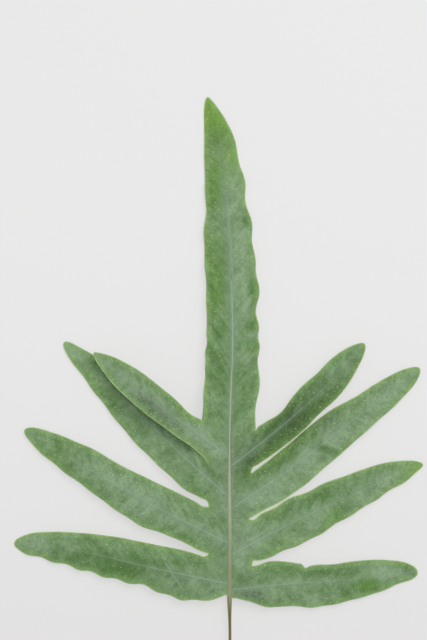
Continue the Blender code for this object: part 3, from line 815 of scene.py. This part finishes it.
def frond_offset():
    """How far the CAD frame has moved the frond from the foot of its blade, read off its stalk."""
    y = np.linspace(CUT_END, RIB_END, 300)
    half = along(STALK_HALF_WIDTHS, y)
    reach = (rachis_x(y) + half).max()
    bottom = (rachis_height(y) - (1 + STALK_SINK) * half).min()
    low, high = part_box("stalk")
    return np.array([high.x / MM - reach, low.y / MM - CUT_END, low.z / MM - bottom])


SHIFT = frond_offset()

STALK_STEP = 1.5
STALK_SIDES = 20
CUT_RINGS = (0.86, 0.55, 0.25)  # shares of the radius: a narrow bevel, the wall and the pith


def build_stalk():
    y = np.concatenate([np.arange(CUT_END, RIB_END, STALK_STEP), [RIB_END]])
    half = along(STALK_HALF_WIDTHS, y)
    centre = np.column_stack([rachis_x(y), y, rachis_height(y) - STALK_SINK * half])
    tangent = np.gradient(centre, axis=0)
    tangent /= np.linalg.norm(tangent, axis=1, keepdims=True)
    left = np.cross((0, 0, 1), tangent)
    left /= np.linalg.norm(left, axis=1, keepdims=True)
    up = np.cross(tangent, left)
    sides = STALK_SIDES
    turn = np.linspace(0, 2 * np.pi, sides, endpoint=False)
    # A shallow groove runs along the upper side, and six low ridges run all round.
    groove = 1 - 0.1 * np.exp(-(((turn - np.pi / 2) / 0.4) ** 2)) + 0.03 * np.cos(6 * turn)
    fade = 1 - smoothstep((y - 60) / 60)
    radius = half[:, None] * (1 + fade[:, None] * (groove[None, :] - 1))
    radius *= (1 - 0.9 * smoothstep((y - RIB_END + RIB_FADE) / RIB_FADE))[:, None]
    rings = centre[:, None, :] + radius[..., None] * (
        np.cos(turn)[None, :, None] * left[:, None, :] + np.sin(turn)[None, :, None] * up[:, None, :]
    )
    rows = len(y)
    points = rings.reshape(-1, 3)
    faces = []
    for r in range(rows - 1):
        for k in range(sides):
            a = r * sides + k
            b = r * sides + (k + 1) % sides
            faces.append([a, b, b + sides, a + sides])
    # The cut: a narrow bevel, then a face with a paler middle.
    extra = [centre[0] - tangent[0] * 0.12 + c * (rings[0] - centre[0]) for c in CUT_RINGS]
    extra.append(centre[:1] - tangent[0] * 0.1)
    start = len(points)
    points = np.concatenate([points, *extra])
    ring_starts = [0, start, start + sides, start + 2 * sides]
    for inner, outer in zip(ring_starts[1:], ring_starts):
        for k in range(sides):
            n = (k + 1) % sides
            faces.append([outer + n, outer + k, inner + k, inner + n])
    last = ring_starts[-1]
    tip = len(points) - 1
    faces += [[last + (k + 1) % sides, last + k, tip] for k in range(sides)]
    slots = [0] * (len(faces) - 4 * sides) + [1] * (4 * sides)
    faces.append([(rows - 1) * sides + k for k in range(sides)])
    slots.append(0)
    values = {
        "upward": np.concatenate([np.tile(np.sin(turn), rows), np.zeros(len(points) - start)]),
        "core": np.concatenate([np.ones(start), np.repeat(CUT_RINGS, sides), [0.0]]),
        "y_mm": points[:, 1],
    }
    return mesh_object("stalk_rod", points, faces, slots, values)


# --- Materials ----------------------------------------------------------------------------------


def srgb(red, green, blue):
    """A colour given as it looks, from 0 to 255, as the linear values that a shader takes."""
    c = np.array([red, green, blue]) / 255
    linear = np.where(c <= 0.04045, c / 12.92, ((c + 0.055) / 1.055) ** 2.4)
    return (*linear.tolist(), 1.0)


class Shader:
    """A Principled material and short names for the nodes that feed it."""

    def __init__(self, name):
        self.material = bpy.data.materials.new(name)
        self.material.use_nodes = True
        self.tree = self.material.node_tree
        self.surface = self.tree.nodes["Principled BSDF"]

    def node(self, kind, *values, output=0, **settings):
        node = self.tree.nodes.new(kind)
        for key, value in settings.items():
            setattr(node, key, value)
        for socket, value in zip(node.inputs, values):
            self.put(socket, value)
        return node.outputs[output]

    def put(self, socket, value):
        if isinstance(value, bpy.types.NodeSocket):
            self.tree.links.new(value, socket)
        elif value is not None:
            socket.default_value = value[:3] if socket.type == "VECTOR" else value

    def math(self, operation, *values, clamp=False):
        return self.node("ShaderNodeMath", *values, operation=operation, use_clamp=clamp)

    def times(self, a, b, clamp=False):
        return self.math("MULTIPLY", a, b, clamp=clamp)

    def value(self, name):
        return self.node("ShaderNodeAttribute", attribute_name=name, output=2)

    def fade(self, value, start, end, high=1.0):
        """high at start, falling smoothly to 0 at end."""
        limits = (start, end, high, 0.0)
        return self.node("ShaderNodeMapRange", value, *limits, interpolation_type="SMOOTHSTEP")

    def mix(self, factor, a, b, blend="MIX"):
        node = self.tree.nodes.new("ShaderNodeMix")
        node.data_type = "RGBA"
        node.blend_type = blend
        for place, value in ((0, factor), (6, a), (7, b)):
            self.put(node.inputs[place], value)
        return node.outputs[2]

    def noise(self, vector, scale, detail=3.0, roughness=0.5):
        node = self.tree.nodes.new("ShaderNodeTexNoise")
        self.put(node.inputs["Vector"], vector)
        node.inputs["Scale"].default_value = scale
        node.inputs["Detail"].default_value = detail
        node.inputs["Roughness"].default_value = roughness
        return node.outputs["Fac"]

    def place(self):
        return self.node("ShaderNodeTexCoord", output=3)

    def combine(self, x, y, z):
        return self.node("ShaderNodeCombineXYZ", x, y, z)

    def lighten(self, colour, amount):
        """The colour times 1 + amount."""
        factor = self.math("ADD", amount, 1.0)
        factors = self.combine(factor, factor, factor)
        return self.node("ShaderNodeVectorMath", colour, factors, operation="MULTIPLY")

    def total(self, *values):
        result = values[0]
        for value in values[1:]:
            result = self.math("ADD", result, value)
        return result

    def limited(self, value):
        """The value kept between 0 and 1."""
        return self.math("ADD", value, 0.0, clamp=True)

    def centred(self, value, size):
        """size times a 0 to 1 value's distance from the middle."""
        return self.times(self.math("SUBTRACT", value, 0.5), size)

    def finish(self, colour, roughness, bump_height, bump_distance, **constants):
        self.put(self.surface.inputs["Base Color"], colour)
        self.put(self.surface.inputs["Roughness"], roughness)
        bump = self.tree.nodes.new("ShaderNodeBump")
        bump.inputs["Distance"].default_value = bump_distance
        bump.inputs["Strength"].default_value = 1.0
        self.put(bump.inputs["Height"], bump_height)
        self.put(self.surface.inputs["Normal"], bump.outputs[0])
        for name, value in constants.items():
            self.surface.inputs[name.replace("_", " ")].default_value = value
        return self.material


def leaf_material(name, green, wax, young, fresh, pale, line_colour, midrib, contrast):
    s = Shader(name)
    place = s.place()
    edge = s.value("edge_mm")
    rib = s.value("rib_mm")
    spine = s.value("spine_mm")
    seamless = s.value("seamless")
    line_share = s.value("line")
    clouds = s.noise(place, 95.0, 3.0, 0.55)
    patches = s.noise(place, 280.0, 3.0, 0.6)
    specks = s.noise(place, 800.0, 2.0, 0.6)
    grain = s.noise(place, 1900.0, 2.0, 0.6)
    along_veins = (s.value("vein_mm"), s.value("out_mm"), s.value("lobe"))

    def streak(scales, detail):
        vector = s.combine(*(s.times(v, k) for v, k in zip(along_veins, scales)))
        return s.centred(s.noise(vector, 1.0, detail, 0.6), seamless)

    streaks = streak((0.9, 0.22, 3.7), 3.0)
    bands = streak((0.15, 0.06, 5.1), 2.0)
    # How much wax there is: most along the veins and the middle, least at the edges; the wax clouds
    # also paint light and shade on some lobe halves.
    wax_share = s.total(
        0.46,
        s.value("bloom"),
        s.centred(clouds, 1.1),
        s.centred(patches, 0.8),
        bands,
        s.times(streaks, 0.3),
        s.fade(rib, 0.0, 7.0, 0.2),
        s.fade(edge, 0.0, 6.0, -0.4),
    )
    wax_share = s.limited(wax_share)
    colour = s.mix(wax_share, green, wax)
    youth = s.total(s.value("yellow"), s.fade(edge, 0.0, 3.5, 0.25), s.centred(patches, 0.5))
    colour = s.mix(s.limited(youth), colour, young)
    tone = s.total(
        s.times(streaks, 0.3 * contrast),
        s.times(bands, 0.3 * contrast),
        s.centred(patches, 0.32 * contrast),
        s.centred(specks, 0.62 * contrast),
        s.centred(grain, 0.5 * contrast),
        # Darker under the dark clouds: a deeper tone, and painted shade.
        s.times(s.value("dark"), -1.0),
    )
    colour = s.lighten(colour, tone)
    # The veins: a fine pale line in a soft pale band.
    y = s.value("y_mm")
    halo = s.times(s.fade(rib, 0.3, 2.8, 0.35), line_share)
    line = s.times(s.fade(rib, 0.1, 0.5, 0.5), line_share)
    colour = s.mix(halo, colour, midrib)
    colour = s.mix(line, colour, line_colour)
    band = s.times(s.fade(spine, 0.5, 4.5, 0.32), s.fade(y, 240.0, 290.0))
    colour = s.mix(band, colour, midrib)
    line = s.times(s.fade(spine, 0.3, 1.5, 0.3), s.fade(y, 215.0, 265.0))
    colour = s.mix(line, colour, line_colour)
    colour = s.mix(s.times(s.value("spot"), 0.85), colour, pale)
    # The crease: a pale line that fades out at both ends.
    along_crease = s.fade(s.math("ABSOLUTE", s.value("crease_along")), CREASE_HALF - 4, CREASE_HALF)
    across_crease = s.fade(s.math("ABSOLUTE", s.value("crease_off")), 0.15, 0.55, 0.4)
    colour = s.mix(s.times(along_crease, across_crease), colour, line_colour)
    # The leaf pales softly towards its edges, and ends in a fine pale rim, broadest along the slits,
    # where that is painted light glowing through the edges.
    in_green = s.times(s.value("yellow"), -0.6)
    in_shade = s.times(s.value("dark"), -1.6)
    uneven = s.total(1.0, s.centred(patches, 1.2), in_green, in_shade)
    paling = s.times(s.fade(edge, 0.3, 5.0, 0.28), uneven, clamp=True)
    colour = s.mix(paling, colour, fresh)
    rim_share = s.total(0.4, s.value("slit"), s.centred(clouds, 1.6))
    margin = s.times(s.fade(edge, 0.2, 0.75), rim_share)
    colour = s.mix(s.limited(margin), colour, pale)
    roughness = s.total(0.52, s.times(wax_share, 0.12), s.centred(grain, 0.1))
    height = s.total(streaks, s.centred(patches, 0.8), s.centred(grain, 0.3))
    return s.finish(
        colour,
        roughness,
        height,
        0.25 * MM,
        Specular_IOR_Level=0.3,
        Sheen_Weight=0.06,
        Sheen_Roughness=0.6,
    )


def stalk_material():
    s = Shader("stalk_skin")
    place = s.place()
    y = s.value("y_mm")
    up = s.value("upward")
    stretched = s.node("ShaderNodeVectorMath", place, (1600.0, 60.0, 1600.0), operation="MULTIPLY")
    fibres = s.noise(stretched, 1.0, 3.0)
    blotches = s.noise(place, 170.0, 3.0)
    # The stipe is darker along its top and paler down its sides and underside: the paler sides are
    # painted highlights.
    stipe_and_highlights = s.mix(s.fade(up, 0.2, 0.95), srgb(108, 97, 58), srgb(150, 140, 108))
    foot = s.mix(s.fade(y, -10.0, 4.0), srgb(140, 146, 108), stipe_and_highlights)
    lower = s.mix(s.fade(y, 16.0, 64.0), srgb(156, 170, 138), foot)
    colour = s.mix(s.fade(y, 110.0, 175.0), srgb(144, 170, 148), lower)
    tone = s.math("ADD", s.centred(fibres, 0.28), s.centred(blotches, 0.22))
    colour = s.lighten(colour, tone)
    roughness = s.math("ADD", 0.4, s.centred(blotches, 0.15))
    return s.finish(colour, roughness, fibres, 0.12 * MM, Specular_IOR_Level=0.4)


def cut_material():
    s = Shader("stalk_cut")
    place = s.place()
    core = s.value("core")
    pores = s.noise(place, 3500.0, 2.0)
    pith = s.mix(s.fade(core, 0.2, 0.62), srgb(96, 74, 40), srgb(176, 168, 120))
    colour = s.mix(s.fade(core, 0.72, 1.0), srgb(110, 84, 46), pith)
    colour = s.lighten(colour, s.centred(pores, 0.5))
    return s.finish(colour, s.math("ADD", 0.75, s.centred(pores, 0.2)), pores, 0.1 * MM)


# --- The frond ----------------------------------------------------------------------------------

leaf = build_sheet()
leaf.data.materials.append(
    leaf_material(
        "leaf_upper",
        green=srgb(84, 122, 62),
        wax=srgb(132, 158, 122),
        young=srgb(108, 150, 58),
        fresh=srgb(166, 199, 138),
        pale=srgb(196, 218, 162),
        line_colour=srgb(150, 174, 152),
        midrib=srgb(116, 142, 116),
        contrast=1.0,
    )
)
leaf.data.materials.append(
    leaf_material(
        "leaf_under",
        green=srgb(112, 140, 94),
        wax=srgb(138, 158, 128),
        young=srgb(126, 156, 92),
        fresh=srgb(172, 192, 146),
        pale=srgb(190, 206, 160),
        line_colour=srgb(178, 190, 146),
        midrib=srgb(170, 184, 146),
        contrast=0.6,
    )
)
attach(leaf, "root")
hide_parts("blade")

stalk = build_stalk()
stalk.data.materials.append(stalk_material())
stalk.data.materials.append(cut_material())
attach(stalk, "root")
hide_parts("stalk")

# --- Floor, light and camera --------------------------------------------------------------------


def build_floor():
    size = 3.0
    mesh = bpy.data.meshes.new("floor")
    corners = [(-size, -size, 0), (size, -size, 0), (size, size, 0), (-size, size, 0)]
    mesh.from_pydata(corners, [], [(0, 1, 2, 3)])
    s = Shader("pale_floor")
    place = s.place()
    tone = s.noise(place, 3.0, 2.0)
    colour = s.lighten(srgb(126, 125, 125), s.centred(tone, 0.03))
    # The sheet under the frond glows, a little more at the tip's end, so that shadows stay faint.
    depth = s.node("ShaderNodeSeparateXYZ", place, output=1)
    glow = s.mix(s.fade(depth, 0.15, -0.45), srgb(215, 213, 213), srgb(231, 231, 231))
    s.put(s.surface.inputs["Emission Color"], glow)
    grain = s.noise(place, 900.0, 2.0)
    mesh.materials.append(s.finish(colour, 0.9, grain, 0.02 * MM, Emission_Strength=0.74))
    put_in_scene("floor", mesh)


def build_key_light():
    data = bpy.data.lights.new("key", "AREA")
    data.shape = "DISK"
    data.size = 1.3
    data.energy = 14.2
    light = put_in_scene("key", data)
    light.location = (0.45, 0.6, 1.5)
    light.rotation_euler = (-light.location).to_track_quat("-Z", "Y").to_euler()


def build_room():
    world = bpy.data.worlds.new("studio")
    world.use_nodes = True
    nodes = world.node_tree.nodes
    links = world.node_tree.links
    background = nodes["Background"]
    background.inputs["Color"].default_value = (1.0, 1.0, 1.0, 1.0)
    # The walls are as bright as the floor, and the room dims softly above them.
    around = nodes.new("ShaderNodeTexCoord")
    split = nodes.new("ShaderNodeSeparateXYZ")
    dim = nodes.new("ShaderNodeMapRange")
    dim.interpolation_type = "SMOOTHSTEP"
    limits = {"From Min": 0.05, "From Max": 0.4, "To Min": 0.81, "To Max": 0.6}
    for name, value in limits.items():
        dim.inputs[name].default_value = value
    links.new(around.outputs["Generated"], split.inputs[0])
    links.new(split.outputs["Z"], dim.inputs[0])
    links.new(dim.outputs[0], background.inputs["Strength"])
    bpy.context.scene.world = world


def build_camera():
    """Straight above, with a long lens, so that the frond's heights hardly shift its outline."""
    lens = 180.0
    sensor = 36.0
    frame_height = 384.0
    # The point in the middle of the picture: left of the rachis, and over half way up the blade.
    centre = Vector((SHIFT[0] - 9.6, SHIFT[1] + 167.1, 6.0)) * MM
    data = bpy.data.cameras.new("camera")
    data.lens = lens
    data.sensor_width = sensor
    camera = put_in_scene("camera", data)
    camera.location = centre + Vector((0, 0, frame_height * MM * lens / sensor))
    bpy.context.scene.camera = camera


build_floor()
build_room()
build_key_light()
build_camera()
bpy.context.scene.view_settings.view_transform = "Standard"
